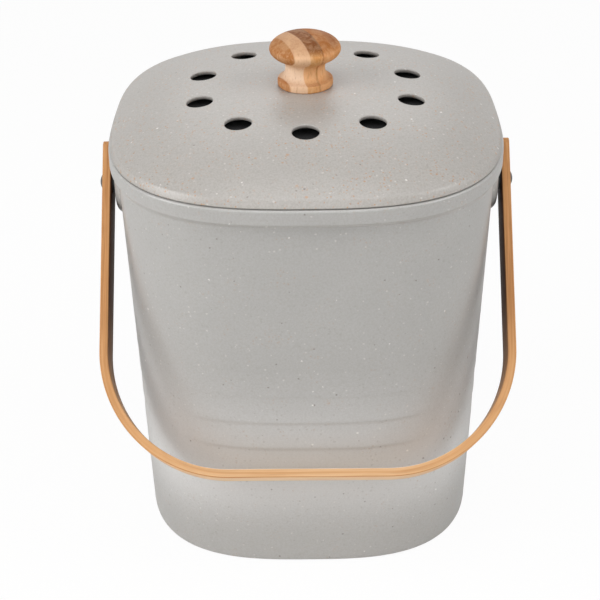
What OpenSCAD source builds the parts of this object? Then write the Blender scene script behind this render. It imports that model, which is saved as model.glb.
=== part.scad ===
// Compost caddy: a moulded bin, a lift-off vented lid with a turned bamboo knob and a charcoal
// filter underneath, and a bent bamboo bail handle that swings on two bolts.
// Millimetres. Z is up, the front is -Y, and the origin is the middle of the base on the table.

/* [Overall size] */
// Width of the lid, left to right
lid_width = 190; // [150:1:240]
// Depth of the lid, front to back
lid_depth = 195; // [150:1:240]
// Height of the rim's top, where the lid sits
rim_z = 207; // [150:1:280]
// Squareness of the lid and the rim band in plan (2 is an ellipse)
plan_power = 2.78; // [2.2:0.01:4]

/* [Bin] */
// Width of the base at the table
base_width = 170; // [120:1:176]
// Depth of the base at the table
base_depth = 173.4; // [120:0.1:180]
// Squareness of the wall at the base
base_power = 2.98; // [2.2:0.01:4]
// Squareness of the wall under the rim band
wall_power = 3.2; // [2.2:0.01:4]
// Thickness of the bin's wall
wall = 3.0; // [2:0.1:5]
// Thickness of the floor
floor_t = 3.6; // [2.5:0.1:6]
// Radius of the base's outer edge
base_round = 2.8; // [1:0.1:8]
// Radius where the floor meets the wall, inside
floor_round = 9; // [4:0.5:16]
// How far the rim band stands out beyond the lid's edge
rim_proud = 0.7; // [0:0.1:2]
// Height of the rim band
rim_band = 8.1; // [5:0.1:14]
// How far the rim band stands out from the wall
rim_step = 4.2; // [1.5:0.1:5]
// Height of the cove under the rim band
rim_cove = 3.2; // [1.5:0.1:6]
// Height of the lowest ring moulded into the wall
ring_low = 42.5; // [30:0.5:60]
// Height from one ring to the next
ring_pitch = 15.4; // [8:0.1:20]
// Number of rings
ring_count = 6; // [0:1:7]
// Depth of a ring
ring_depth = 0.3; // [0.1:0.05:0.6]
// Depth of the recess under the base
foot_recess = 1.0; // [0.5:0.1:2]
// Width of the foot ring around the recess
foot_ring = 9; // [5:0.5:20]
// Radius of the pad in the middle of the base
centre_pad_r = 22; // [10:1:40]

/* [Pivot ears] */
// Radius of the ear around each pivot
ear_r = 16; // [12:0.5:22]
// How far the ear's edge rounds over
ear_round = 5; // [1:0.5:7]
// Depth of the pivot below the rim's top
pivot_drop = 32; // [22:0.5:45]

/* [Lid] */
// Height of the lid's edge
lid_edge = 4.0; // [2.5:0.1:6]
// Height of the lid's crown above the rim
lid_crown = 19.8; // [12:0.1:30]
// How far the lid's side leans in from its foot to its top edge
lid_lean = 1.2; // [0.2:0.1:2]
// Power of the dome's fall towards the edge
dome_power = 3.8; // [2:0.05:6]
// Thickness of the lid
lid_t = 2.4; // [2:0.1:4]
// Depth of the locating ring below the rim's top
plug_depth = 9; // [5:0.5:14]
// Thickness of the locating ring
plug_t = 2.6; // [1.8:0.1:4]
// Gap between the locating ring and the bin
plug_gap = 0.9; // [0.4:0.1:2]
// Number of vents
vent_count = 10; // [6:1:16]
// Radius of the circle the vents sit on
vent_circle_r = 53.3; // [35:0.1:70]
// Diameter of a vent
vent_d = 12.8; // [6:0.1:18]

/* [Knob] */
// Diameter of the knob's foot
knob_foot_d = 27; // [18:0.1:34]
// Diameter of the knob's neck
knob_neck_d = 19.2; // [12:0.1:24]
// Diameter of the knob's head
knob_head_d = 34.6; // [24:0.1:45]
// Height of the knob
knob_h = 26.1; // [18:0.1:36]
// Height of the foot's straight side
knob_foot_h = 3.4; // [1.5:0.1:6]
// Half height of the head below its widest line
knob_head_low = 6.4; // [3:0.1:9]
// Half height of the head above its widest line
knob_head_high = 7.7; // [4:0.1:10]

/* [Filter] */
// Diameter of the charcoal pad
filter_d = 126; // [100:1:140]
// Thickness of the charcoal pad
filter_t = 8; // [4:0.5:12]
// Diameter of the hole in the middle of the pad
filter_hole_d = 24; // [18:0.5:34]
// Thickness of the tray's floor
tray_t = 2.0; // [1.5:0.1:4]
// Height of the tray's side
tray_side_h = 5; // [3:0.5:8]
// Width of a tray slot
tray_slot = 7; // [3:0.5:10]

/* [Knob fastening] */
// Diameter of the knob's stud
stud_d = 6; // [4:0.5:8]
// Length of the stud held in the knob
stud_in_knob = 15; // [8:0.5:20]
// Thickness of the washer under the lid
lid_washer_t = 1.2; // [0.8:0.1:2]
// Diameter of the washer under the lid
lid_washer_d = 18; // [12:0.5:22]
// Thickness of the hex nut under the lid
lid_nut_t = 5; // [3:0.5:7]
// Size across the flats of the hex nut
lid_nut_af = 10; // [8:0.5:13]
// Diameter of the thumb nut
thumb_d = 22; // [16:0.5:30]
// Thickness of the thumb nut
thumb_h = 8; // [5:0.5:12]

/* [Handle] */
// Thickness of the bamboo strip
strip_t = 4.4; // [3:0.1:6]
// Width of the bamboo strip
strip_w = 18.6; // [12:0.1:26]
// Reach from the pivot to the outside of the bar
handle_reach = 150.4; // [125:0.1:190]
// Outer radius of the two bends
handle_bend_r = 63.0; // [30:0.5:85]
// Length of strip beyond the pivot
end_beyond = 19.4; // [10:0.1:26]
// Radius at the corners of the strip's ends
end_corner_r = 4; // [1:0.1:9]
// Gap between the ear and the strip, filled by the spacer
side_gap = 2.0; // [1:0.1:4]
// Gap between the resting bar and the bin
rest_gap = 0.3; // [0.2:0.1:1]

/* [Pivot fastening] */
// Diameter of the bolt's shank
bolt_d = 5; // [4:0.5:6]
// Diameter of the bolt's domed head
bolt_head_d = 9.2; // [7:0.1:12]
// Height of the bolt's domed head
bolt_head_h = 1.9; // [1:0.1:3]
// Running gap between the shank and the strip
bolt_play = 0.05; // [0.02:0.01:0.1]
// Gap between the strip and the parts beside it
side_play = 0.15; // [0.1:0.05:0.4]
// Diameter of the black spacer
spacer_d = 11.5; // [8:0.1:15]
// Diameter of the washer inside the bin
inner_washer_d = 13; // [10:0.1:16]
// Thickness of the washer inside the bin
inner_washer_t = 1.0; // [0.6:0.1:1.5]
// Size across the flats of the cap nut
cap_nut_af = 8; // [7:0.1:10]
// Thickness of the cap nut's hexagon
cap_nut_t = 4; // [3:0.1:6]

/* [Hidden] */

shell_grey = [0.72, 0.71, 0.69];
bamboo = [0.83, 0.64, 0.42];
steel = [0.78, 0.78, 0.77];
black = [0.10, 0.10, 0.10];
charcoal = [0.05, 0.05, 0.05];
round_fn = 96;
cols = 88;

lid_a = lid_width / 2;
lid_b = lid_depth / 2;
rim_a = lid_a + rim_proud;
base_a = base_width / 2;
base_b = base_depth / 2;
depth_more = lid_b - lid_a;
top_a = rim_a - rim_step;
band_z = rim_z - rim_band;
pivot_z = rim_z - pivot_drop;
ear_face = rim_a - 0.3;
plug_a = top_a - wall - plug_gap;
crown_z = rim_z + lid_crown;
edge_z = rim_z + lid_edge;
crease_a = lid_a - lid_lean;
crease_b = lid_b - lid_lean;
land_r = knob_foot_d / 2 + 1.6;

// Half width, half depth and squareness of the outer wall at height z
function wall_a(z) = base_a + (top_a - base_a) * z / rim_z;
function wall_b(z) = base_b + (top_a + depth_more - base_b) * z / rim_z;
function wall_n(z) = base_power + (wall_power - base_power) * z / rim_z;
function wall_row(z, inset) = [z, wall_a(z) - inset, wall_b(z) - inset, wall_n(z)];
// Distance from the axis to a rounded-square outline with half sizes a and b, in direction t
function plan_r(a, b, n, t) = 1 / pow(pow(abs(cos(t)) / a, n) + pow(abs(sin(t)) / b, n), 1 / n);
function plan_pt(r, t) = let (p = plan_r(r[1], r[2], r[3], t)) [p * cos(t), p * sin(t), r[0]];
function plan_ring(r) = [for (i = [0 : cols - 1]) plan_pt(r, 360 * i / cols)];
function plan_flat(r) = [for (i = [0 : cols - 1]) let (p = plan_pt(r, 360 * i / cols)) [p[0], p[1]]];

// Height of the dome at a share s of the way out to its crease, and its rows from the middle outwards
function dome_z(s) = edge_z + (crown_z - edge_z) * (1 - pow(s, dome_power));
function dome_row(s, drop) = [dome_z(s) - drop, crease_a * s, crease_b * s, 2 + (plan_power - 2) * pow(s, 1.5)];

// A closed skin through a list of rows [z, half width, half depth, squareness], capped at both ends
module skin(rows) {
    count = len(rows);
    points = [for (r = rows) each plan_ring(r)];
    sides = [for (j = [0 : count - 2]) for (i = [0 : cols - 1])
        let (a = j * cols + i, b = j * cols + (i + 1) % cols, c = a + cols, d = b + cols)
        each [[a, c, d], [a, d, b]]];
    first = [for (i = [0 : cols - 1]) i];
    last = [for (i = [cols - 1 : -1 : 0]) (count - 1) * cols + i];
    polyhedron(points = points, faces = concat([first], sides, [last]), convexity = 8);
}

// ---------------------------------------------------------------- bin
module bin_shell() {
    turns = [0, 30, 60, 90];
    outside = [for (t = turns) wall_row(base_round * (1 - cos(t)), base_round * (1 - sin(t)))];
    ring_half = ring_pitch / 4;
    rings = [
        for (i = [0 : 1 : ring_count - 1])
            let (z = ring_low + ring_pitch * i)
                if (z + 2 * ring_half < band_z - rim_cove)
                    each [
                        wall_row(z - ring_half, ring_depth / 4),
                        wall_row(z, ring_depth),
                        wall_row(z + ring_half, ring_depth / 4),
                        wall_row(z + 2 * ring_half, 0)
                    ]
    ];
    cove = [
        wall_row(band_z - rim_cove, 0),
        wall_row(band_z - rim_cove * 0.45, -rim_step * 0.22),
        [band_z, rim_a - rim_step * 0.3, rim_a + depth_more - rim_step * 0.3, plan_power]
    ];
    band = [
        [band_z + 0.8, rim_a, rim_a + depth_more, plan_power],
        [rim_z - 1.1, rim_a, rim_a + depth_more, plan_power],
        [rim_z - 0.3, rim_a - 0.3, rim_a + depth_more - 0.3, plan_power],
        [rim_z, rim_a - 1.1, rim_a + depth_more - 1.1, plan_power]
    ];
    lip = [[rim_z, top_a - wall + 0.6, top_a + depth_more - wall + 0.6, wall_power]];
    down = [wall_row(rim_z - 0.6, wall)];
    fr = floor_round;
    bend = [for (t = [0, 30, 60, 90]) wall_row(floor_t + fr * (1 - sin(t)), wall + fr * (1 - cos(t)))];
    skin(concat(outside, rings, cove, band, lip, down, bend));
}

// A thin slice of the ear: a half circle below the pivot and straight sides up into the band
module ear_slice(side, x, r) {
    slice = 0.05;
    translate([side * (x - slice), 0, pivot_z])
        rotate([0, side * 90, 0])
            cylinder(r = r, h = slice, $fn = round_fn);
    translate([side * (x - slice / 2), 0, (pivot_z + band_z + 1) / 2])
        cube([slice, 2 * r, band_z + 1 - pivot_z], center = true);
}

module ear(side) {
    buried = wall_a(pivot_z) - wall * 0.62;
    foot = wall_a(pivot_z) - 0.5;
    hull() {
        ear_slice(side, buried, ear_r);
        for (t = [0 : 22.5 : 90])
            ear_slice(side, foot + (ear_face - foot) * sin(t), ear_r - ear_round * (1 - cos(t)));
    }
}

module bin() {
    recess_row = wall_row(0, base_round + foot_ring);
    color(shell_grey)
    difference() {
        union() {
            bin_shell();
            ear(-1);
            ear(1);
        }
        for (side = [-1, 1])
            translate([side * (base_a - 12), 0, pivot_z])
                rotate([0, side * 90, 0])
                    cylinder(r = bolt_d / 2 + 0.03, h = 40, $fn = round_fn);
        difference() {
            translate([0, 0, -1])
                linear_extrude(height = foot_recess + 1)
                    polygon(plan_flat(recess_row));
            translate([0, 0, -2])
                cylinder(r = centre_pad_r, h = foot_recess + 4, $fn = round_fn);
        }
    }
}

// ---------------------------------------------------------------- lid
module lid_shell() {
    shares = [0.32, 0.46, 0.58, 0.68, 0.77, 0.85, 0.91, 0.96, 0.99];
    crown = [[crown_z, land_r, land_r, 2]];
    outside = [for (s = shares) dome_row(s, 0)];
    edge = [
        [edge_z - 0.4, lid_a - lid_lean * 0.8, lid_b - lid_lean * 0.8, plan_power],
        [rim_z + 0.9, lid_a, lid_b, plan_power],
        [rim_z + 0.35, lid_a - 0.35, lid_b - 0.35, plan_power],
        [rim_z + 0.35, lid_a - 1.6, lid_b - 1.6, plan_power],
        [rim_z, lid_a - 1.7, lid_b - 1.7, plan_power]
    ];
    plug_b = plug_a + depth_more;
    plug = [
        [rim_z, plug_a, plug_b, wall_power],
        [rim_z - plug_depth + 0.8, plug_a - 0.3, plug_b - 0.3, wall_power],
        [rim_z - plug_depth, plug_a - 1.0, plug_b - 1.0, wall_power],
        [rim_z - plug_depth, plug_a - plug_t, plug_b - plug_t, wall_power],
        [dome_z(0.95) - lid_t, plug_a - plug_t, plug_b - plug_t, wall_power]
    ];
    hr = filter_d / 2 + 0.8;
    hz = filter_z() + filter_t - 3;
    under = [
        dome_row(0.84, lid_t),
        [dome_z((hr + 2) / crease_a) - lid_t, hr + 2, hr + 2, 2],
        [hz, hr + 1.8, hr + 1.8, 2],
        [hz, hr, hr, 2],
        [dome_z(hr / crease_a) - lid_t, hr, hr, 2]
    ];
    domed = [for (s = [0.58, 0.46, 0.32]) [dome_z(s) - lid_t, crease_a * s, crease_a * s, 2]];
    boss = [
        [crown_z - lid_t, land_r - 2.5, land_r - 2.5, 2],
        [boss_z(), land_r - 3, land_r - 3, 2]
    ];
    skin(concat(crown, outside, edge, plug, under, domed, boss));
}

module lid() {
    color(shell_grey)
    difference() {
        lid_shell();
        translate([0, 0, boss_z() - 5])
            cylinder(r = stud_d / 2 + 0.1, h = 40, $fn = round_fn);
        for (i = [0 : vent_count - 1])
            rotate([0, 0, 360 * i / vent_count])
                translate([0, -vent_circle_r, crown_z - 20])
                    cylinder(r = vent_d / 2, h = 30, $fn = round_fn);
    }
}

// Heights below the lid: boss, washer, nut, pad and tray
function boss_z() = crown_z - lid_t - 3.4;
function filter_z() = dome_z(filter_d / 2 / crease_a) - lid_t - 0.6 - filter_t;
function tray_z() = filter_z() - tray_t;

// ---------------------------------------------------------------- knob
module knob() {
    foot = knob_foot_d / 2;
    neck = knob_neck_d / 2;
    head = knob_head_d / 2;
    widest = knob_h - knob_head_high;
    neck_z = (knob_foot_h + widest - knob_head_low) / 2 + 1.2;
    cove = [for (t = [0 : 10 : 90]) [foot - 0.5 - (foot - 0.5 - neck) * sin(t), knob_foot_h + 0.5 + (neck_z - knob_foot_h - 0.5) * (1 - cos(t))]];
    rise = [for (t = [0 : 15 : 75]) [neck + (head * 0.68 - neck) * (1 - cos(t)), neck_z + (widest - knob_head_low + 0.6 - neck_z) * sin(t)]];
    low = [for (t = [-46 : 8 : -6]) [head * cos(t), widest + knob_head_low * 1.08 * sin(t)]];
    high = [for (t = [0 : 7.5 : 82.5]) [head * cos(t), widest + knob_head_high * sin(t)]];
    bottom = [[0, 0], [foot - 0.6, 0], [foot - 0.1, 0.5], [foot, 1.2], [foot, knob_foot_h - 0.4], [foot - 0.2, knob_foot_h + 0.1]];
    color(bamboo)
    translate([0, 0, crown_z])
        difference() {
            rotate_extrude($fn = round_fn)
                polygon(concat(bottom, cove, rise, low, high, [[0, knob_h]]));
            translate([0, 0, -1])
                cylinder(r = stud_d / 2 + 0.03, h = stud_in_knob + 1.3, $fn = round_fn);
        }
}

module knob_stud() {
    r = stud_d / 2;
    low = tray_z() - thumb_h - 1.5;
    high = crown_z + stud_in_knob;
    color(steel)
    rotate_extrude($fn = round_fn)
        polygon([[0, low], [r - 0.8, low], [r, low + 0.8], [r, high - 0.8], [r - 0.8, high], [0, high]]);
}

module lid_washer() {
    color(steel)
    translate([0, 0, boss_z() - lid_washer_t])
        difference() {
            cylinder(r = lid_washer_d / 2, h = lid_washer_t, $fn = round_fn);
            translate([0, 0, -1])
                cylinder(r = stud_d / 2 + 0.2, h = lid_washer_t + 2, $fn = round_fn);
        }
}

// A hexagon with its six corners turned off to a cone at each face that asks for it
module hex_body(across, h) {
    corner = across / 2 / cos(30);
    intersection() {
        cylinder(r = corner, h = h, $fn = 6);
        rotate_extrude($fn = round_fn)
            polygon([[0, 0], [corner - 0.5, 0], [corner, 0.35], [corner, h - 0.35], [corner - 0.5, h], [0, h]]);
    }
}

module lid_nut() {
    color(steel)
    translate([0, 0, boss_z() - lid_washer_t - lid_nut_t])
        difference() {
            hex_body(lid_nut_af, lid_nut_t);
            translate([0, 0, -1])
                cylinder(r = stud_d / 2 + 0.03, h = lid_nut_t + 2, $fn = round_fn);
        }
}

// ---------------------------------------------------------------- filter
module filter_pad() {
    color(charcoal)
    translate([0, 0, filter_z()])
        difference() {
            cylinder(r = filter_d / 2, h = filter_t, $fn = round_fn);
            translate([0, 0, -1])
                cylinder(r = filter_hole_d / 2, h = filter_t + 2, $fn = round_fn);
        }
}

module tray_slots(radius, count, length) {
    for (i = [0 : count - 1])
        rotate([0, 0, 360 * i / count])
            translate([radius, 0, -1]) {
                translate([-length / 2, -tray_slot / 2, 0])
                    cube([length, tray_slot, tray_t + 2]);
                for (e = [-1, 1])
                    translate([e * length / 2, 0, 0])
                        cylinder(r = tray_slot / 2, h = tray_t + 2, $fn = round_fn);
            }
}

module filter_tray() {
    tray_r = filter_d / 2 + 2.6;
    color(shell_grey)
    translate([0, 0, tray_z()])
        difference() {
            union() {
                cylinder(r = tray_r, h = tray_t, $fn = round_fn);
                difference() {
                    cylinder(r = filter_d / 2 + 0.4 + 2, h = tray_side_h, $fn = round_fn);
                    translate([0, 0, tray_t])
                        cylinder(r = filter_d / 2 + 0.4, h = tray_side_h, $fn = round_fn);
                }
            }
            translate([0, 0, -1])
                cylinder(r = stud_d / 2 + 0.2, h = tray_t + 2, $fn = round_fn);
            tray_slots(filter_d * 0.345, 20, filter_d * 0.17);
            tray_slots(filter_d * 0.175, 10, filter_d * 0.07);
        }
}

module thumb_nut() {
    flutes = 12;
    color(black)
    translate([0, 0, tray_z() - thumb_h])
        difference() {
            rotate_extrude($fn = round_fn)
                polygon([[0, 0], [thumb_d / 2 - 1.2, 0], [thumb_d / 2, 1.2], [thumb_d / 2, thumb_h - 2.6],
                         [thumb_d / 2 - 3, thumb_h - 1], [thumb_d / 2 - 3, thumb_h], [0, thumb_h]]);
            translate([0, 0, -1])
                cylinder(r = stud_d / 2 + 0.03, h = thumb_h + 2, $fn = round_fn);
            for (i = [0 : flutes - 1])
                rotate([0, 0, 360 * i / flutes])
                    translate([thumb_d / 2 + 1.4, 0, -1])
                        cylinder(r = 2.4, h = thumb_h - 1, $fn = round_fn);
        }
}

// ---------------------------------------------------------------- handle
handle_a = ear_face + side_gap + strip_t;
inner_reach = handle_reach - strip_t;
// Tilt at which the bar's back inner corner stops rest_gap short of the front wall
front_slope = (top_a + depth_more - base_b) / rim_z;
touch_b = wall_b(pivot_z) + rest_gap;
swing_r = sqrt(inner_reach * inner_reach + strip_w * strip_w / 4);
tilt = asin(touch_b / (swing_r * sqrt(1 + front_slope * front_slope)))
    + atan2(strip_w / 2, inner_reach) - atan(front_slope);

module u_outline(half, reach, bend, top) {
    translate([-half, -(reach - bend)])
        square([2 * half, reach - bend + top]);
    translate([-(half - bend), -reach])
        square([2 * (half - bend), reach]);
    for (side = [-1, 1])
        translate([side * (half - bend), -(reach - bend)])
            circle(r = bend, $fn = 128);
}

module handle_flat() {
    translate([0, 0, -strip_w / 2])
        linear_extrude(height = strip_w)
            difference() {
                u_outline(handle_a, handle_reach, handle_bend_r, end_beyond);
                u_outline(handle_a - strip_t, inner_reach, handle_bend_r - strip_t, end_beyond + 5);
            }
}

module end_trim() {
    r = end_corner_r;
    for (e = [-1, 1])
        translate([0, end_beyond - r, e * (strip_w / 2 - r)])
            rotate([0, 90, 0])
                difference() {
                    translate([-(e > 0 ? r + 1 : 0), 0, -handle_a - 5])
                        cube([r + 1, r + 1, 2 * handle_a + 10]);
                    translate([0, 0, -handle_a - 6])
                        cylinder(r = r, h = 2 * handle_a + 12, $fn = round_fn);
                }
}

module handle() {
    color(bamboo)
    translate([0, 0, pivot_z])
        rotate([90 - tilt, 0, 0])
            difference() {
                handle_flat();
                end_trim();
                translate([-handle_a - 5, 0, 0])
                    rotate([0, 90, 0])
                        cylinder(r = bolt_d / 2 + bolt_play, h = 2 * handle_a + 10, $fn = round_fn);
            }
}

// ---------------------------------------------------------------- pivot fastening
// Distances from the middle plane, outwards along the pivot
inner_face = wall_a(pivot_z) - wall;
strip_in = handle_a - strip_t;

module outwards(side) {
    translate([0, 0, pivot_z])
        rotate([0, side * 90, 0])
            children();
}

module pivot_bolt(side) {
    seat = handle_a + side_play;
    dome_r = (bolt_head_d * bolt_head_d / 4 + bolt_head_h * bolt_head_h) / (2 * bolt_head_h);
    tip = nut_seat() - cap_nut_t + 0.3;
    color(steel)
    outwards(side)
        union() {
            translate([0, 0, tip])
                cylinder(r = bolt_d / 2, h = seat + 0.5 - tip, $fn = round_fn);
            intersection() {
                translate([0, 0, seat + bolt_head_h - dome_r])
                    sphere(r = dome_r, $fn = round_fn);
                translate([0, 0, seat])
                    cylinder(r = bolt_head_d / 2 + 1, h = bolt_head_h + 1, $fn = round_fn);
            }
        }
}

module spacer(side) {
    color(black)
    outwards(side)
        translate([0, 0, ear_face])
            difference() {
                cylinder(r = spacer_d / 2, h = side_gap - side_play, $fn = round_fn);
                translate([0, 0, -1])
                    cylinder(r = bolt_d / 2 + 0.05, h = side_gap + 2, $fn = round_fn);
            }
}

// The wall leans outwards, so the washer's seat is the wall's nearest point within the washer
side_slope = (top_a - base_a) / rim_z;
function washer_seat() = inner_face - side_slope * inner_washer_d / 2 - 0.35;
function nut_seat() = washer_seat() - inner_washer_t;

module inner_washer(side) {
    color(steel)
    outwards(side)
        translate([0, 0, nut_seat()])
            difference() {
                cylinder(r = inner_washer_d / 2, h = inner_washer_t, $fn = round_fn);
                translate([0, 0, -1])
                    cylinder(r = bolt_d / 2 + 0.05, h = inner_washer_t + 2, $fn = round_fn);
            }
}

module cap_nut(side) {
    color(steel)
    outwards(side)
        translate([0, 0, nut_seat() - cap_nut_t])
            difference() {
                union() {
                    hex_body(cap_nut_af, cap_nut_t);
                    intersection() {
                        sphere(r = cap_nut_af / 2 - 0.2, $fn = round_fn);
                        translate([0, 0, -cap_nut_af])
                            cylinder(r = cap_nut_af, h = cap_nut_af + 0.5, $fn = round_fn);
                    }
                }
                translate([0, 0, -0.1])
                    cylinder(r = bolt_d / 2 + 0.03, h = cap_nut_t + 1, $fn = round_fn);
            }
}

module pivot_bolt_left() { pivot_bolt(-1); }
module pivot_bolt_right() { pivot_bolt(1); }
module spacer_left() { spacer(-1); }
module spacer_right() { spacer(1); }
module inner_washer_left() { inner_washer(-1); }
module inner_washer_right() { inner_washer(1); }
module cap_nut_left() { cap_nut(-1); }
module cap_nut_right() { cap_nut(1); }

bin();
lid();
knob();
knob_stud();
lid_washer();
lid_nut();
filter_pad();
filter_tray();
thumb_nut();
handle();
pivot_bolt_left();
pivot_bolt_right();
spacer_left();
spacer_right();
inner_washer_left();
inner_washer_right();
cap_nut_left();
cap_nut_right();
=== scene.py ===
# %% [markdown]
# # A compost caddy in moulded bamboo fibre
# The caddy is a tapered bin, a domed lid with ten vents, a turned knob and a bent bamboo handle.
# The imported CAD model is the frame: it fixes every size and place. This lesson dresses it: the
# four pieces that the eye rests on are modelled again with soft edges and relief, and the small
# fittings keep their CAD meshes and only get a finish.

# %% Load the frame
import math
import bmesh
import bpy
import numpy as np
from mathutils import Matrix, Vector


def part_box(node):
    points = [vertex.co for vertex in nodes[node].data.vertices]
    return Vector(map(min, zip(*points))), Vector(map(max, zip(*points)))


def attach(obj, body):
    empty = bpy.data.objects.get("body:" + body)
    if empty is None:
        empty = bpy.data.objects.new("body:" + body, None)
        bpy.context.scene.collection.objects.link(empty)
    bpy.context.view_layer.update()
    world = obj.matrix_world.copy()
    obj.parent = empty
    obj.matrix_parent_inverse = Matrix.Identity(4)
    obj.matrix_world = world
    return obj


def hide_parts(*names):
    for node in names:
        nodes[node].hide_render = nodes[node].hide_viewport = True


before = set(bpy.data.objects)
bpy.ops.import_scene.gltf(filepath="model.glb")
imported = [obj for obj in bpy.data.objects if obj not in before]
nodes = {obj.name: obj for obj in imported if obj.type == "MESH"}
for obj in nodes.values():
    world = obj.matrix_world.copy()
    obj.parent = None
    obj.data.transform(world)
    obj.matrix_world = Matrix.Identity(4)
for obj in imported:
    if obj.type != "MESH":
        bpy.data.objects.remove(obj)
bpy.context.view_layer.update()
print("CAD nodes:", len(nodes))


# %% [markdown]
# ## The camera
# A product picture of a caddy is taken from above the rim with a long lens, so that the walls
# stay nearly parallel. The camera is placed by its height angle and its distance from an aim
# point on the caddy's middle line, because these two read more easily than raw coordinates.

# %% Camera
MM = 0.001
SENSOR = 36.0
IMAGE_WIDTH = 600
FOCAL_IN_PIXELS = 1530.2
camera_height_angle = 0.5273
camera_side_angle = 0.0066
camera_distance = 807.5 * MM
camera_roll = -0.0122
aim = Vector((-3.9, 0, 104.87)) * MM


def add_object(name, data):
    """Puts an object with this data into the scene."""
    made = bpy.data.objects.new(name, data)
    bpy.context.scene.collection.objects.link(made)
    return made


around = Matrix.Rotation(camera_side_angle, 3, "Z")
sin_height, cos_height = math.sin(camera_height_angle), math.cos(camera_height_angle)
forward = around @ Vector((0, cos_height, -sin_height))
level_right = around @ Vector((1, 0, 0))
level_up = around @ Vector((0, sin_height, cos_height))
right = level_right * math.cos(camera_roll) + level_up * math.sin(camera_roll)
up = level_up * math.cos(camera_roll) - level_right * math.sin(camera_roll)

camera_data = bpy.data.cameras.new("camera")
camera_data.sensor_width = SENSOR
camera_data.lens = FOCAL_IN_PIXELS / IMAGE_WIDTH * SENSOR
camera = add_object("camera", camera_data)
turn = Matrix((right, up, -forward)).transposed().to_4x4()
camera.matrix_world = Matrix.Translation(aim - forward * camera_distance) @ turn
bpy.context.scene.camera = camera
bpy.context.scene.view_settings.view_transform = "Standard"
print("camera lens, mm:", round(camera_data.lens, 2))


# %% [markdown]
# ## Small tools for materials
# Colours are easiest to pick and compare as sRGB hex values, but shaders work in linear light, so
# one function converts them. A second one adds a node, sets it and links it, and the others are
# short names for the nodes that every finish uses. A material then reads as a list of steps.

# %% Colours and nodes
def linear(hex_colour):
    """An sRGB hex colour as linear red, green, blue and alpha."""
    parts = [int(hex_colour[i:i + 2], 16) / 255 for i in (1, 3, 5)]
    return [c / 12.92 if c <= 0.04045 else ((c + 0.055) / 1.055) ** 2.4 for c in parts] + [1.0]


def feed(tree, node, inputs):
    """Gives each input socket its value, or joins it to the output that feeds it."""
    for socket, value in inputs.items():
        if isinstance(value, bpy.types.NodeSocket):
            tree.links.new(value, node.inputs[socket])
        else:
            node.inputs[socket].default_value = value


def add_node(tree, kind, inputs=None, **settings):
    """Adds a shader node. inputs are as in feed, and settings are the node's own."""
    node = tree.nodes.new("ShaderNode" + kind)
    for name, value in settings.items():
        setattr(node, name, value)
    feed(tree, node, inputs or {})
    return node


def empty_tree(owner):
    """The node tree of a material or a world, cleared."""
    owner.use_nodes = True
    owner.node_tree.nodes.clear()
    return owner.node_tree


def new_material(name):
    """An empty material, its tree and its Principled shader, already joined to the output."""
    material = bpy.data.materials.new(name)
    tree = empty_tree(material)
    shader = add_node(tree, "BsdfPrincipled")
    add_node(tree, "OutputMaterial", {"Surface": shader.outputs["BSDF"]})
    return material, tree, shader


def mix(tree, share, before, after):
    """Goes from one colour to another with share. A colour is a hex value or an output."""
    before, after = (linear(c) if isinstance(c, str) else c for c in (before, after))
    return add_node(tree, "Mix", {0: share, 6: before, 7: after}, data_type="RGBA").outputs[2]


def ramp(tree, value, start=0.0, end=1.0, low=0.0, high=1.0, curve="LINEAR"):
    """Goes from low to high as value goes from start to end, and stays level beyond."""
    return add_node(tree, "MapRange", {0: value, 1: start, 2: end, 3: low, 4: high},
                    interpolation_type=curve).outputs[0]


def maths(tree, operation, *values, **settings):
    """One sum on numbers or outputs."""
    node = add_node(tree, "Math", dict(enumerate(values)), operation=operation, **settings)
    return node.outputs[0]


def noise(tree, at, size, detail, **more):
    """Noise with lumps about size mm across, as a value."""
    inputs = {"Vector": at, "Scale": 1 / size, "Detail": detail, **more}
    return add_node(tree, "TexNoise", inputs).outputs[0]


def stretched(tree, at, factors):
    """Coordinates times a factor an axis. One under 1 draws a pattern out along that axis."""
    return add_node(tree, "VectorMath", {0: at, 1: factors}, operation="MULTIPLY").outputs[0]


def relief(tree, height, strength, depth):
    """A fine relief, depth in mm, as a normal."""
    inputs = {"Height": height, "Strength": strength, "Distance": depth * MM}
    return add_node(tree, "Bump", inputs).outputs[0]


# %% [markdown]
# ## Stage and light
# The floor is a plain pale sheet. Six soft lamps stand round the caddy over a dim even surround:
# a key on each side, two in front, one above and one behind. The left key is the stronger, so the
# walls keep a gentle fall of light from left to right. The camera sees a pure white surround,
# through Light Path, while the caddy is lit at a level at which a colour comes out about as it is
# written.

# %% Floor
floor_half = 1.6
floor_mesh = bpy.data.meshes.new("floor")
corners = [(x * floor_half, y * floor_half, 0) for x, y in ((-1, -1), (1, -1), (1, 1), (-1, 1))]
floor_mesh.from_pydata(corners, [], [(0, 1, 2, 3)])
floor = add_object("floor", floor_mesh)

# The camera sees mostly plain white paper, and enough of the lit sheet to keep the caddy's shadow.
floor_white_share = 0.95
floor_material = bpy.data.materials.new("white_paper_sweep")
floor_tree = empty_tree(floor_material)
fibre = add_node(floor_tree, "TexNoise", {"Scale": 900.0, "Detail": 3.0})
paper = mix(floor_tree, fibre.outputs[0], "#F1F0EE", "#F7F6F4")
lit = add_node(floor_tree, "BsdfDiffuse", {"Color": paper})
plain = add_node(floor_tree, "Emission", {"Color": (1, 1, 1, 1), "Strength": 1.0})
path = add_node(floor_tree, "LightPath")
share = maths(floor_tree, "MULTIPLY", path.outputs["Is Camera Ray"], floor_white_share)
seen = add_node(floor_tree, "MixShader", {0: share, 1: lit.outputs[0], 2: plain.outputs[0]})
add_node(floor_tree, "OutputMaterial", {"Surface": seen.outputs[0]})
floor.data.materials.append(floor_material)

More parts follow.
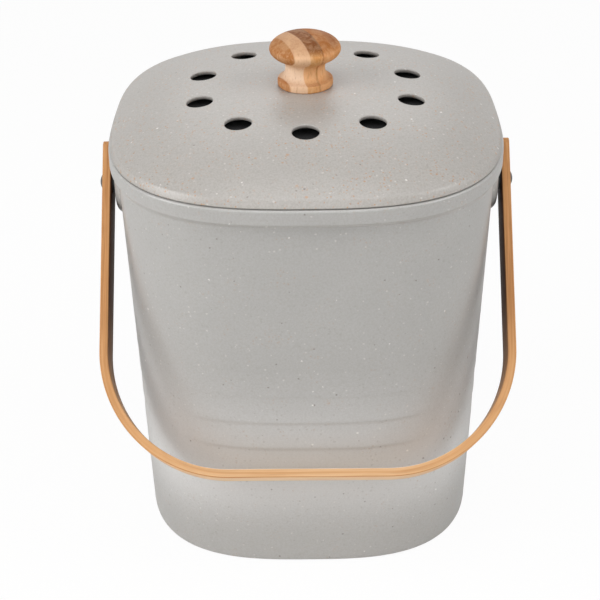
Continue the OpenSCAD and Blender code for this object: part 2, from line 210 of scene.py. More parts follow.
# %% World
surround_strength = 0.06
world = bpy.data.worlds.new("studio")
bpy.context.scene.world = world
sky = empty_tree(world)
path = add_node(sky, "LightPath")
direct = maths(sky, "MAXIMUM", path.outputs["Is Camera Ray"], path.outputs["Is Glossy Ray"])
direct = maths(sky, "MAXIMUM", direct, path.outputs["Is Transmission Ray"])
strength = ramp(sky, direct, low=surround_strength, high=1.0)
light = add_node(sky, "Background", {0: (1, 1, 1, 1), 1: strength})
add_node(sky, "OutputWorld", {"Surface": light.outputs[0]})


# %% Lamps
LAMP_SIDE = 1.0
lamps = [
    # name, place, height that it is aimed at (metres), power (watts)
    ("key_left", (-1.25, -0.55, 0.90), 0.12, 14.8),
    ("key_right", (1.25, -0.40, 1.05), 0.12, 10.0),
    ("front_high", (0.0, -1.4, 1.4), 0.12, 2.5),
    ("front_low", (0.0, -1.5, 0.50), 0.08, 4.7),
    ("top", (0.0, -0.3, 1.65), 0.12, 7.3),
    ("back", (0.0, 1.3, 1.1), 0.12, 3.0),
]
for name, place, aim_height, power in lamps:
    lamp_data = bpy.data.lights.new(name, "AREA")
    lamp_data.shape = "SQUARE"
    lamp_data.size = LAMP_SIDE
    lamp_data.energy = power
    lamp = add_object(name, lamp_data)
    lamp.location = place
    towards = Vector((0, 0, aim_height)) - Vector(place)
    lamp.rotation_euler = towards.to_track_quat("-Z", "Y").to_euler()
print("lamps:", len(lamps))


# %% [markdown]
# ## Finish 1: the moulded shell
# Bin and lid are hot-pressed from bamboo fibre in a melamine resin. The press leaves a smooth
# satin skin, and the ground fibre stays visible in it as flecks: tan ones where a fibre lies near
# the skin, a few dark ones from the bark, and pale ones of bare resin. Voronoi cells are a good
# base for flecks, because each cell holds one, and the cell's own random colour decides if it is
# there at all.

# %% Flecks
def object_mm(tree):
    """The object's own coordinates in millimetres, so that pattern sizes can be real ones."""
    place = add_node(tree, "TexCoord")
    return add_node(tree, "VectorMath", {0: place.outputs["Object"], "Scale": 1000.0},
                    operation="SCALE").outputs[0]


def fleck_mask(tree, at, cell, share, radius, shift):
    """Soft dots: the cell's size in mm, the share of cells with a dot, and its largest radius."""
    moved = add_node(tree, "VectorMath", {0: at, 1: (shift, shift * 0.7, shift * 1.3)},
                     operation="ADD").outputs[0]
    wobble = add_node(tree, "TexNoise", {"Vector": moved, "Scale": 1.3, "Detail": 2.0})
    bent = add_node(tree, "VectorMath", {0: wobble.outputs[1], 1: (0.9, 0.9, 0.9), 2: moved},
                    operation="MULTIPLY_ADD")
    cells = add_node(tree, "TexVoronoi", {"Vector": bent.outputs[0], "Scale": 1 / cell})
    chance = add_node(tree, "SeparateXYZ", {0: cells.outputs["Color"]})
    there = maths(tree, "LESS_THAN", chance.outputs[0], share)
    soft_edge = 0.45 * radius / cell
    reach = ramp(tree, chance.outputs[1], low=soft_edge, high=radius / cell)
    depth = maths(tree, "SUBTRACT", reach, cells.outputs["Distance"])
    return maths(tree, "MULTIPLY", ramp(tree, depth, 0.0, soft_edge), there)


# %% [markdown]
# The lid and the bin are separate pressings. The lid's powder holds more ground bark, so its tan
# specks are denser and gather in loose drifts, and its grey is a little warmer than the bin's.
# The bin is the glossier of the two. Both stay above a roughness of 0.28, which keeps their
# reflections wide and soft, as on a plate of this material.

# %% Moulded bamboo-fibre composite
def moulded_bamboo_fibre(name, pale, deep, grain_amount, tan_amount, drift_low, painted_light_amount, gloss):
    """Satin grey with flecks: a melamine resin skin, so the IOR is a hard plastic's."""
    material, tree, shader = new_material(name)
    at = object_mm(tree)
    clouds = noise(tree, at, 22, 3.0)
    grit = noise(tree, at, 0.9, 3.0, Roughness=0.6)
    colour = mix(tree, clouds, deep, pale)
    # A wide belt of painted light makes the front wall paler round the bar's height, against its
    # shadow, with no sharp edge.
    # Each pair says where that begins and where it is full, in mm.
    from_above, from_below, from_sides = (122.0, 57.0), (14.0, 54.0), (-20.0, -68.0)
    place = add_node(tree, "SeparateXYZ", {0: at}).outputs
    front = ramp(tree, place[1], *from_sides, curve="SMOOTHSTEP")
    above = ramp(tree, place[2], *from_above, high=painted_light_amount, curve="SMOOTHSTEP")
    below = ramp(tree, place[2], *from_below, curve="SMOOTHSTEP")
    painted_light_belt = maths(tree, "MULTIPLY", maths(tree, "MULTIPLY", above, below), front)
    colour = mix(tree, painted_light_belt, colour, "#CFCECD")
    # The painted light also evens out the fine grain there.
    grain_share = ramp(tree, painted_light_belt, low=grain_amount, high=0.10)
    colour = mix(tree, ramp(tree, grit, 0.38, 0.64, high=grain_share), colour, "#9C9790")
    drift = ramp(tree, noise(tree, at, 11, 2.0), drift_low, drift_low + 0.16)
    tan = maths(tree, "MULTIPLY", drift, tan_amount)
    grey_ends = 0.16 + 0.18 * tan_amount
    kinds = [
        # cell mm, share, radius mm, strength, colour, shift
        (1.5, 0.60, 0.66, tan, "#B08F74", 3.0),          # fine bark dust, in drifts
        (4.6, 0.24, 1.05, tan, "#B4957B", 41.0),         # larger bark specks
        (2.3, 0.50, 0.80, grey_ends, "#8D867E", 61.0),   # grey fibre ends under the skin
        (3.6, 0.17, 0.72, 0.62, "#6A5F56", 87.0),        # dark fibre ends at the skin
        (2.7, 0.40, 0.68, 0.40, "#DFDCD7", 109.0),       # faint pale resin
        (5.2, 0.26, 0.80, 0.70, "#EDEBE7", 133.0),       # bright resin
    ]
    for cell, share, radius, strength, tone, shift in kinds:
        mask = fleck_mask(tree, at, cell, share, radius, shift)
        colour = mix(tree, maths(tree, "MULTIPLY", mask, strength), colour, tone)
    # The bin's mesh marks its ring creases, which get a painted shade. The lid's has no marks.
    marks = add_node(tree, "Attribute", attribute_name="painted_crease_shade")
    crease = add_node(tree, "SeparateXYZ", {0: marks.outputs["Vector"]})
    crease_shade = maths(tree, "MULTIPLY", crease.outputs[0], 0.10)
    feed(tree, shader, {
        "Base Color": mix(tree, crease_shade, colour, "#7F7A74"),
        "Roughness": ramp(tree, clouds, low=gloss, high=gloss + 0.05),
        "Normal": relief(tree, grit, 0.12, 0.08),
        "IOR": 1.6,
    })
    return material


# The last but one argument sets the belt of painted light: none on the lid, full on the bin.
lid_shell = moulded_bamboo_fibre(
    "moulded_bamboo_fibre_lid", "#B3AFAA", "#ABA7A3", grain_amount=0.62, tan_amount=1.0,
    drift_low=0.38, painted_light_amount=0.0, gloss=0.36)
bin_shell = moulded_bamboo_fibre(
    "moulded_bamboo_fibre_bin", "#B4B3B1", "#ADACAA", grain_amount=0.34, tan_amount=0.40,
    drift_low=0.52, painted_light_amount=1.0, gloss=0.28)
print("made", lid_shell.name, bin_shell.name)


# %% [markdown]
# ## Finish 2: laminated bamboo
# The knob is turned from a block of bamboo strips glued side by side. Turning cuts through the
# strips, so each glue plane shows as a curve over the head. A solid texture gives that for free:
# the strip that a point lies in depends only on its place across the block. The fibres stand
# upright, as fine streaks on the sides and dots on top. Oil soaks into the wood and leaves hardly
# any gloss, so both bamboo finishes reflect less than a varnish would, which keeps their colour
# deep.

# %% Knob material
OILED_WOOD_IOR = 1.47
OILED_WOOD_REFLECTION = 0.2


def turned_bamboo(name, foot_z):
    """Laminated bamboo, rubbed with oil: nearly matt, so its colour stays deep."""
    material, tree, shader = new_material(name)
    at = object_mm(tree)
    block_turn = math.radians(26.8)
    block_lean = 0.016
    across_block = (math.cos(block_turn), math.sin(block_turn), block_lean)
    across = add_node(tree, "VectorMath", {0: at, 1: across_block},
                      operation="DOT_PRODUCT").outputs["Value"]
    across = maths(tree, "MULTIPLY_ADD", noise(tree, at, 9, 1.0), 0.7, across)
    # A strip has three tones: cut ends on top, side, and a paler tone painted onto the neck's
    # hollow as light against the head's shade. After the first, which is honey, each strip starts
    # at its place across the block, in mm.
    cut, side, neck = "#A46C3E", "#AC6F3C", "#C78047"
    strips = [
        (-7.5, "#C39773", "#E2B791", "#F3D4B8"),   # pale strip
        (-1.0, "#74401A", "#D39659", "#EDB47F"),   # dark where its ends are cut
        (4.9, "#6E3F1E", "#B9763F", "#CF9157"),    # a glue line that took up dirt
        (5.9, "#A2632F", "#DC9A61", "#EFB47C"),    # honey
        (12.0, "#985B2E", "#D08C50", "#E4A66C"),   # darker honey
    ]
    for start, *following in strips:
        past = ramp(tree, across, start - 0.25, start + 0.25)
        cut, side, neck = (mix(tree, past, before, after)
                           for before, after in zip((cut, side, neck), following))
    # Where the turning cuts the fibres across, their open ends drink more oil and look darker.
    facing = add_node(tree, "SeparateXYZ", {0: add_node(tree, "TexCoord").outputs["Normal"]})
    end_grain = ramp(tree, facing.outputs[2], 0.38, 0.85)
    height = add_node(tree, "SeparateXYZ", {0: at}).outputs[2]
    # Painted light: the neck, and less the foot, take the paler neck tone to lift the shade under
    # the head.
    upper = ramp(tree, height, foot_z + 13.5, foot_z + 9.5)
    lower = ramp(tree, height, foot_z + 3.0, foot_z + 6.5, low=0.3)
    colour = mix(tree, end_grain, side, cut)
    colour = mix(tree, maths(tree, "MULTIPLY", upper, lower), colour, neck)
    fibres = noise(tree, stretched(tree, at, (1.0, 1.0, 0.28)), 0.9, 4.0, Roughness=0.65)
    blotches = noise(tree, at, 4.5, 3.0, Distortion=0.8)
    quiet = ramp(tree, end_grain, low=0.34, high=0.14)
    colour = mix(tree, ramp(tree, fibres, 0.50, 0.70, high=quiet), colour, "#ECCBA4")
    colour = mix(tree, ramp(tree, fibres, 0.32, 0.48, 0.34, 0.0), colour, "#A4662F")
    colour = mix(tree, ramp(tree, blotches, 0.42, 0.62, high=0.20), colour, "#E6C096")
    feed(tree, shader, {
        "Base Color": colour,
        "Roughness": ramp(tree, fibres, low=0.52, high=0.68),
        "Normal": relief(tree, fibres, 0.15, 0.1),
        "IOR": OILED_WOOD_IOR,
        "Specular IOR Level": OILED_WOOD_REFLECTION,
    })
    return material


knob_bamboo = turned_bamboo("turned_laminated_bamboo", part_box("knob")[0].z * 1000)

# %% [markdown]
# The handle is three thin bamboo plies glued flat and bent round a former. Its pattern has to
# follow the bend, so the mesh carries the strip's own coordinates, as if it were still straight:
# millimetres along it, across it and through it. The plies are bands in the third of these, which
# show only where an edge is cut, and the fibres are noise stretched along the first.

# %% Handle material
def bent_bamboo(name, thickness, half_length):
    """Three-ply bent bamboo, oiled. Reads the strip_mm attribute: along, across, through."""
    material, tree, shader = new_material(name)
    strip = add_node(tree, "Attribute", attribute_name="strip_mm").outputs["Vector"]
    parts = add_node(tree, "SeparateXYZ", {0: strip}).outputs
    drawn_out = stretched(tree, strip, (0.02, 1.0, 1.0))
    fibres = noise(tree, drawn_out, 0.8, 3.0, Roughness=0.6)
    drift = ramp(tree, noise(tree, drawn_out, 3.2, 1.0), low=-0.22, high=0.22)
    through = maths(tree, "ADD", parts[2], drift)
    # Depth from the outer face in mm at which each layer starts, and its tone.
    layers = [
        (0.30, "#AE7038"),              # first glue line
        (0.70, "#D9B085"),              # outer ply
        (thickness * 0.46, "#D2A272"),  # middle ply, darker
        (thickness * 0.68, "#D7AD82"),  # inner ply
        (thickness - 0.20, "#EADCCB"),  # inner face, rubbed pale by the wall
    ]
    colour = "#ECCBA6"  # outer skin
    for start, tone in layers:
        colour = mix(tree, ramp(tree, through, start - 0.10, start + 0.10), colour, tone)
    colour = mix(tree, ramp(tree, fibres, 0.34, 0.50, 0.38, 0.0), colour, "#AE7642")
    colour = mix(tree, ramp(tree, fibres, 0.54, 0.74, high=0.35), colour, "#EBC9A2")
    # Away from the middle the oil has run into the cut edges, so the plies show less there.
    from_middle = maths(tree, "ABSOLUTE", maths(tree, "SUBTRACT", parts[0], half_length))
    even = ramp(tree, from_middle, 40.0, 80.0, high=0.62)
    colour = mix(tree, even, colour, "#D4A06C")
    # Both ends of the strip come from nearer the root, where the cane is a deeper honey.
    deeper = ramp(tree, from_middle, 70.0, 170.0, high=0.52)
    colour = mix(tree, deeper, colour, "#C58850")
    # Long streaks run through that tone, and a soft darker cloud marks each joint of the cane.
    streak = maths(tree, "MULTIPLY", ramp(tree, fibres, 0.40, 0.56, 0.75, 0.0), deeper)
    colour = mix(tree, streak, colour, "#93582A")
    clouds = noise(tree, stretched(tree, strip, (0.35, 1.0, 1.0)), 7, 3.0)
    joint = maths(tree, "MULTIPLY", ramp(tree, clouds, 0.54, 0.72, high=0.45), even)
    colour = mix(tree, joint, colour, "#93582A")
    # The arms' inner face, turned to the wall, is painted dark brown as shade.
    inner = ramp(tree, through, thickness - 0.60, thickness - 0.20)
    painted_inner_shade = maths(tree, "MULTIPLY", inner, deeper)
    painted_inner_shade = maths(tree, "MULTIPLY", painted_inner_shade, 2.0, use_clamp=True)
    feed(tree, shader, {
        "Base Color": mix(tree, painted_inner_shade, colour, "#4E2F1B"),
        "Roughness": ramp(tree, fibres, low=0.50, high=0.65),
        "Normal": relief(tree, fibres, 0.18, 0.1),
        "IOR": OILED_WOOD_IOR,
        "Specular IOR Level": OILED_WOOD_REFLECTION,
    })
    return material


# %% [markdown]
# ## Finish 3: the small fittings
# Nuts and washers are stainless steel, turned or pressed and left satin: a metal reflects with
# its own colour, so it is fully metallic and keeps the default IOR. The two bolts are the same
# steel with a dark brown painted into its colour: a painted reflection of dark surroundings.
# Spacers and the thumb nut are black nylon, moulded with a slight texture. The pad is
# charcoal-filled felt, which is nearly black and has no gloss at all, only the shadows between
# its fibres.

# %% Steel, nylon and felt
def steel_finish(name, low_tone, high_tone):
    """Satin steel: fine lines a third of a millimetre apart break up the reflection."""
    material, tree, shader = new_material(name)
    lines = noise(tree, stretched(tree, object_mm(tree), (1.0, 0.15, 1.0)), 0.33, 2.0)
    feed(tree, shader, {
        "Base Color": mix(tree, lines, low_tone, high_tone),
        "Roughness": ramp(tree, lines, low=0.28, high=0.38),
        "Normal": relief(tree, lines, 0.10, 0.03),
        "Metallic": 1.0,
    })
    return material


def black_nylon(name):
    """Moulded black nylon: a fine matt texture with a soft sheen on its edges."""
    material, tree, shader = new_material(name)
    grain = noise(tree, object_mm(tree), 0.4, 2.0)
    feed(tree, shader, {
        "Base Color": mix(tree, grain, "#121212", "#222120"),
        "Roughness": ramp(tree, grain, low=0.42, high=0.58),
        "Normal": relief(tree, grain, 0.2, 0.05),
        "IOR": 1.53,
    })
    return material


def charcoal_felt(name):
    """Needled felt with charcoal dust: a tangle of fibres, drawn a millimetre across to show."""
    material, tree, shader = new_material(name)
    tangle = noise(tree, object_mm(tree), 1.0, 6.0, Roughness=0.7, Distortion=1.5)
    feed(tree, shader, {
        "Base Color": mix(tree, tangle, "#080808", "#1A1B1D"),
        "Roughness": 0.95,
        "Normal": relief(tree, tangle, 0.7, 0.5),
    })
    return material


steel = steel_finish("satin_stainless_steel", "#B9B8B5", "#D3D2D0")
# The bolts' dark brown is a painted reflection of dark surroundings.
steel_painted_dark = steel_finish("steel_with_painted_dark_reflection", "#57514C", "#6E6660")
nylon = black_nylon("moulded_black_nylon")
felt = charcoal_felt("charcoal_felt")


# %% [markdown]
# ## Mesh tools
# Bin and lid are skins drawn through level rows. A row is a height, two half sizes and a
# squareness: power 2 is an ellipse, and a higher power is a squarer outline. One function gives
# the outline's distance from the axis in any direction, and a small builder collects rings of
# points and bridges them with quads.

# %% Rows and rings
COLUMNS = 240
ANGLES = np.radians(-108 + 360 / COLUMNS * np.arange(COLUMNS))


def plan_radius(half_x, half_y, power, angles=ANGLES):
    """Distance from the axis to a rounded-square outline, in each direction."""
    x = np.abs(np.cos(angles)) / half_x
    y = np.abs(np.sin(angles)) / half_y
    return (x ** power + y ** power) ** (-1 / power)


class Skin:
    """Collects points in millimetres and faces, then becomes a mesh in metres."""

    def __init__(self):
        self.points = []
        self.faces = []

    def add(self, points):
        """Adds points and returns their numbers."""
        first = len(self.points)
        self.points.extend([tuple(map(float, p)) for p in points])
        return list(range(first, len(self.points)))

    def row(self, z, half_x, half_y, power, pressed_in=0.0):
        """Adds a level ring of COLUMNS points. pressed_in may differ round the ring."""
        r = plan_radius(half_x, half_y, power) - pressed_in
        level = np.full(COLUMNS, z)
        return self.add(np.column_stack([r * np.cos(ANGLES), r * np.sin(ANGLES), level]))

    def rows(self, rows):
        """Adds a ring for each row."""
        return [self.row(*r) for r in rows]

    def loft(self, rings):
        """Joins each ring to the next with quads."""
        for one, two in zip(rings, rings[1:]):
            self.faces += zip(one, one[1:] + one[:1], two[1:] + two[:1], two)

    def cap(self, ring, z):
        """Closes a ring with a fan to a point on the axis."""
        centre = self.add([(0, 0, z)])[0]
        self.faces += [(a, b, centre) for a, b in zip(ring, ring[1:] + ring[:1])]

    def solid(self, name):
        """Makes an object with all faces outwards. Returns it and how many edges are open."""
        mesh = bpy.data.meshes.new(name)
        mesh.from_pydata([tuple(c * MM for c in p) for p in self.points], [], self.faces)
        work = bmesh.new()
        work.from_mesh(mesh)
        bmesh.ops.recalc_face_normals(work, faces=work.faces)
        open_edges = sum(1 for e in work.edges if len(e.link_faces) != 2)
        work.to_mesh(mesh)
        work.free()
        return add_object(name, mesh), open_edges

    def piece(self, name, material, body, sharp=40):
        """Makes a piece of the caddy: smooth, with edges over sharp degrees kept crisp."""
        made, open_edges = self.solid(name)
        made.data.shade_smooth()
        made.data.set_sharp_from_angle(angle=math.radians(sharp))
        made.data.materials.append(material)
        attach(made, body)
        print(name, "faces:", len(made.data.polygons), "open edges:", open_edges)
        return made


def mark_points(target, name, vector_at):
    """Stores a vector at every point of a piece, for its material to read, and returns them."""
    values = [c for v in target.data.vertices for c in vector_at(v.co)]
    marks = target.data.attributes.new(name, "FLOAT_VECTOR", "POINT")
    marks.data.foreach_set("vector", values)
    return values


def circle_row(z, radius):
    """A row that is a circle."""
    return np.array([z, radius, radius, 2])


def sweep(first, last, count):
    """Even angles from first to last, given in degrees and returned in radians."""
    return np.radians(np.linspace(first, last, count))


def rounded(rows, radii):
    """Turns each corner of a section into a curve, over 0.45 of an edge at most."""
    rows = [np.array(r, float) for r in rows]
    out = [rows[0]]
    for before, here, after, radius in zip(rows, rows[1:], rows[2:], radii[1:]):
        if radius <= 0:
            out.append(here)
            continue
        back, ahead = before - here, after - here
        start = here + back * min(radius / math.hypot(*back[:2]), 0.45)
        end = here + ahead * min(radius / math.hypot(*ahead[:2]), 0.45)
        for t in np.linspace(0, 1, 5):
            out.append(start * (1 - t) ** 2 + here * 2 * t * (1 - t) + end * t ** 2)
    out.append(rows[-1])
    return out


def filled(rows, longest):
    """Adds rows so that no step is over the longest length, in mm."""
    out = [rows[0]]
    for one, two in zip(rows, rows[1:]):
        count = max(1, math.ceil(math.hypot(*(two - one)[:2]) / longest))
        out.extend(one + (two - one) * k / count for k in range(1, count + 1))
    return out


# %% [markdown]
# ## Piece 1: the bin
# The real bin is one pressing: a thin tapered wall with shallow rings round its lower half, a rim
# band over a small cove, an ear on each side for the handle's bolt, and a recessed foot. The
# sizes below repeat the CAD's. Each ring leans in by up to a third of a millimetre towards its
# top and steps out again under the next one, which is enough to leave a thin soft shadow under
# the step. The rings die out at the corners.

# %% Bin sizes
# Millimetres. _a is half a width, _b half a depth, _r a radius, _t a thickness and _z a height.
rim_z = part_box("bin")[1].z * 1000
lid_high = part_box("lid")[1]
lid_a = lid_high.x * 1000
lid_b = lid_high.y * 1000
depth_more = lid_b - lid_a
rim_a = lid_a + 0.7
top_a = rim_a - 4.2
base_a = 85.0
base_b = 86.7
rim_power = 2.78
base_power = 2.98
wall_power = 3.2
wall = 3.0
band_z = rim_z - 8.1
cove = 3.2
rim_round = 1.1
lip_inset = wall - 0.6
base_round = 2.8
floor_t = 3.6
floor_round = 9.0
foot_ring = 9.0
foot_recess = 1.0
centre_pad_r = 22.0
ring_low = 42.5
ring_pitch = 15.4
ring_count = 6
ring_depth = 0.3
ring_step = 2.4
ring_lean = 1.8
crease_half = 1.4
crease_drop = 0.4
flat_half = 43.0  # degrees off the middle of a side
flat_fade = 17.0


def wall_row(z, inset):
    """The outer wall at height z, moved inwards by inset."""
    share = z / rim_z
    half_x = base_a + (top_a - base_a) * share
    half_y = base_b + (top_a + depth_more - base_b) * share
    power = base_power + (wall_power - base_power) * share
    return np.array([z, half_x - inset, half_y - inset, power])


def band_row(z, inset):
    """The rim band at height z, moved inwards by inset."""
    return np.array([z, rim_a - inset, rim_a + depth_more - inset, rim_power])


# The mould is worn, so the rings stand out by different shares of the depth, from the lowest up.
ring_strength = [0.12, 1.0, 0.90, 0.42, 0.25]


def smooth(t):
    """0 to 1 with soft ends."""
    return t * t * (3 - 2 * t)


def ring_relief(z):
    """How far the wall at height z is pressed in: more towards a ring's top, then a step out."""
    place = (z - ring_low) / ring_pitch
    if not -0.1 < place < ring_count - 1:
        return 0.0
    share = place % 1
    lean = 1 - (1 - share) ** ring_lean if place > 0 else 0.0
    step = min((1 - share) * ring_pitch / ring_step, 1.0)
    return ring_depth * ring_strength[max(int(place), 0)] * lean * smooth(step)


def flat_share(angle):
    """1 over the flat of each side, falling smoothly to 0 at the corners."""
    off_side = np.abs((angle / (math.pi / 2) + 0.5) % 1 - 0.5) * 90
    return smooth(np.clip((flat_half - off_side) / flat_fade, 0, 1))


# %% Bin skin
recess_inset = base_round + foot_ring
under = rounded([
    circle_row(0, 2.0),
    circle_row(0, centre_pad_r),
    circle_row(foot_recess, centre_pad_r + 0.4),
    np.concatenate([[foot_recess], wall_row(0, recess_inset + 0.4)[1:]]),
    wall_row(0, recess_inset),
    wall_row(0, base_round),
], [0, 0.5, 0.4, 0.4, 0.5, 0])
edge = [wall_row(base_round * (1 - math.cos(t)), base_round * (1 - math.sin(t)))
        for t in sweep(0, 90, 8)]
plain_low = [wall_row(z, 0) for z in np.linspace(base_round + 2, ring_low - 4.5, 16)]
steps_up = [-2.9, -2.2, -1.8, -1.5, -1.2, -0.9, -0.6, -0.3, 0, 0.5, 1.2, 3, 5, 7, 9, 11]
ring_z = [ring_low + ring_pitch * k + step for k in range(ring_count) for step in steps_up]
ringed = [[*wall_row(z, 0), ring_relief(z) * flat_share(ANGLES)] for z in ring_z]
plain_high = [wall_row(z, 0) for z in np.linspace(ring_z[-1], band_z - cove, 26)]

# The cove sweeps out from the wall to the band's lower edge.
wall_end = plain_high[-1]
band_start = band_row(band_z + 0.5, 0.35)
cove_rows = []
for t in np.linspace(0.08, 1, 12):
    row = wall_end + (band_start - wall_end) * t ** 2.2
    row[0] = wall_end[0] + (band_start[0] - wall_end[0]) * t
    cove_rows.append(row)
band = [band_row(band_z + 0.8, 0.1), band_row(band_z + 1.15, 0)]
band += [band_row(z, 0) for z in np.linspace(band_z + 1.8, rim_z - 1.5, 5)]
band += [band_row(rim_z - rim_round * (1 - math.sin(t)), rim_round * (1 - math.cos(t)))
         for t in sweep(0, 90, 7)]
lip = rounded([
    band[-1],
    np.array([rim_z, top_a - lip_inset, top_a + depth_more - lip_inset, wall_power]),
    wall_row(rim_z - 4, wall),
], [0, 0.6, 0])
inside = [wall_row(z, wall) for z in np.linspace(rim_z - 8, floor_t + floor_round + 1, 34)]
corner = [wall_row(floor_t + floor_round * (1 - math.sin(t)),
                   wall + floor_round * (1 - math.cos(t))) for t in sweep(0, 90, 9)]
_, floor_a, floor_b, floor_power = corner[-1]
floor_rows = [[floor_t, floor_a * s, floor_b * s, 2 + (floor_power - 2) * s]
              for s in (0.85, 0.6, 0.3, 0.03)]

bin_skin = Skin()
section = under + edge[1:] + plain_low + ringed + plain_high[1:] + cove_rows + band + lip[1:]
section += inside + corner + floor_rows
bin_rings = bin_skin.rows(section)
bin_skin.loft(bin_rings)
bin_skin.cap(bin_rings[0], 0)
bin_skin.cap(bin_rings[-1], floor_t)
caddy_bin = bin_skin.piece("caddy_bin", bin_shell, "bin_body")

# %% [markdown]
# The ears are round-bottomed bosses that stand out from the wall to just inside the rim band's
# face. They are made as separate solids with a rounded front edge and joined to the wall by an
# exact boolean, which leaves one clean skin, and the bolt holes are cut the same way.

# %% Ears and bolt holes
pivot_z = rim_z - 32.0
ear_r = 16.0
ear_face = rim_a - 0.3
ear_round = 5.0
bolt_hole_r = 2.53


def side_solid(outlines, side):
    """A solid along X from a list of (x, outline). An outline is a list of (y, z)."""
    skin = Skin()
    rings = [skin.add([(side * x, y, z) for y, z in outline]) for x, outline in outlines]
    skin.loft(rings)
    skin.faces += [rings[0], rings[-1]]
    return skin.solid("cutter")[0]


def ear_outline(inset):
    """The ear from the side: a half circle below the pivot and straight sides up into the band."""
    r = ear_r - inset
    bottom = [(r * math.cos(t), pivot_z + r * math.sin(t)) for t in sweep(180, 360, 49)]
    return bottom + [(r, band_z + 1), (-r, band_z + 1)]


def join_solid(target, solid, operation):
    """Joins or cuts with an exact boolean, applies it and removes the helper."""
    step = target.modifiers.new("join", "BOOLEAN")
    step.operation = operation
    step.solver = "EXACT"
    step.object = solid
    evaluated = target.evaluated_get(bpy.context.evaluated_depsgraph_get())
    result = bpy.data.meshes.new_from_object(evaluated)
    target.modifiers.remove(step)
    old = target.data
    target.data = result
    result.name = old.name + "_joined"
    bpy.data.meshes.remove(old)
    bpy.data.objects.remove(solid)


def cut_bolt_hole(target, radius, x_in, x_out, side):
    """Cuts a round hole on the pivot line through one side."""
    circle = [(radius * math.cos(t), pivot_z + radius * math.sin(t))
              for t in np.linspace(0, 2 * math.pi, 40, endpoint=False)]
    join_solid(target, side_solid([(x_in, circle), (x_out, circle)], side), "DIFFERENCE")


buried = wall_row(pivot_z, wall * 0.62)[1]
foot = wall_row(pivot_z, 0)[1] - 0.5
for side in (-1, 1):
    layers = [(buried, ear_outline(0))]
    layers += [(foot + (ear_face - foot) * math.sin(t), ear_outline(ear_round * (1 - math.cos(t))))
               for t in sweep(0, 90, 13)]
    join_solid(caddy_bin, side_solid(layers, side), "UNION")
    cut_bolt_hole(caddy_bin, bolt_hole_r, x_in=80, x_out=100, side=side)
caddy_bin.data.set_sharp_from_angle(angle=math.radians(35))


def crease_share(point):
    """First number: 1 in the crease under a ring, falling to 0 within two millimetres."""
    x, y, z = (c * 1000 for c in point)
    angle = math.atan2(y, x)
    from_low = z + crease_drop - ring_low
    ring = round(from_low / ring_pitch)
    is_outside = math.hypot(x, y) >= plan_radius(*wall_row(z, 0)[1:], angle) - 1
    if not (is_outside and 1 <= ring < ring_count):
        return 0.0, 0.0, 0.0
    off = from_low - ring_pitch * ring
    fade = math.exp(-(off / crease_half) ** 2)
    return fade * flat_share(angle) * ring_strength[ring - 1], 0.0, 0.0


# These marks say where shade is painted into the ring creases.
mark_points(caddy_bin, "painted_crease_shade", crease_share)
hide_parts("bin")
print("bin with ears, faces:", len(caddy_bin.data.polygons))


# %% [markdown]
# ## Piece 2: the lid
# The lid is a dome whose outline turns from a circle at the crown into the rim's rounded square.
# Ten vents pierce it on one circle. Cutting them with a boolean would leave ragged shading on the
# dome, so the mesh is laid out round them instead: ten sectors, each with a patch whose outer
# edge is a sector of a ring and whose inner edge is the vent's circle. Every point's height comes
# from the same dome formula, so the layout never shows.

# %% Lid sizes
crown_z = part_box("knob")[0].z * 1000
lid_edge = 4.0
edge_z = rim_z + lid_edge
lid_lean = 1.2
dome_power = 3.8
lid_t = 2.4
crease_a = lid_a - lid_lean
crease_b = lid_b - lid_lean
shoulder_in = 1.6
plug_depth = 9.0
plug_t = 2.6
plug_a = top_a - wall - 0.9
filter_r = 63.0
housing_r = filter_r + 0.8
housing_t = 1.8
stud_hole_r = 3.1
land_r = 13.5 + 1.6
boss_z = crown_z - lid_t - 3.4
vent_count = 10
vent_circle_r = 53.3
vent_r = 6.4
vent_round = 0.5
vent_under_round = 1.4
patch_in = 44.6
patch_out = 62.0


def dome_at(share):
    """Height of the dome at a share of the way out to the crease."""
    return edge_z + (crown_z - edge_z) * (1 - share ** dome_power)


def dome_height(x, y, halvings=34):
    """Height of the dome over a point: halving finds its share of the way out to the crease."""
    r = np.hypot(x, y)
    angle = np.arctan2(y, x)
    low_share = np.zeros_like(r)
    high_share = np.full_like(r, 1.1)
    for _ in range(halvings):
        middle = (low_share + high_share) / 2
        power = 2 + (rim_power - 2) * middle ** 1.5
        beyond = plan_radius(crease_a * middle, crease_b * middle, power, angle) > r
        high_share = np.where(beyond, middle, high_share)
        low_share = np.where(beyond, low_share, middle)
    return dome_at(high_share)


# %% Lid zones
lid_skin = Skin()


def dome_points(xy, drop):
    """Points over a list of x, y on the dome, or drop below it."""
    return lid_skin.add(np.column_stack([xy, dome_height(xy[:, 0], xy[:, 1]) - drop]))


def dome_ring(radii, drop):
    """A ring of points at one or at COLUMNS distances from the axis, on the dome or below it."""
    return dome_points(np.column_stack([radii * np.cos(ANGLES), radii * np.sin(ANGLES)]), drop)


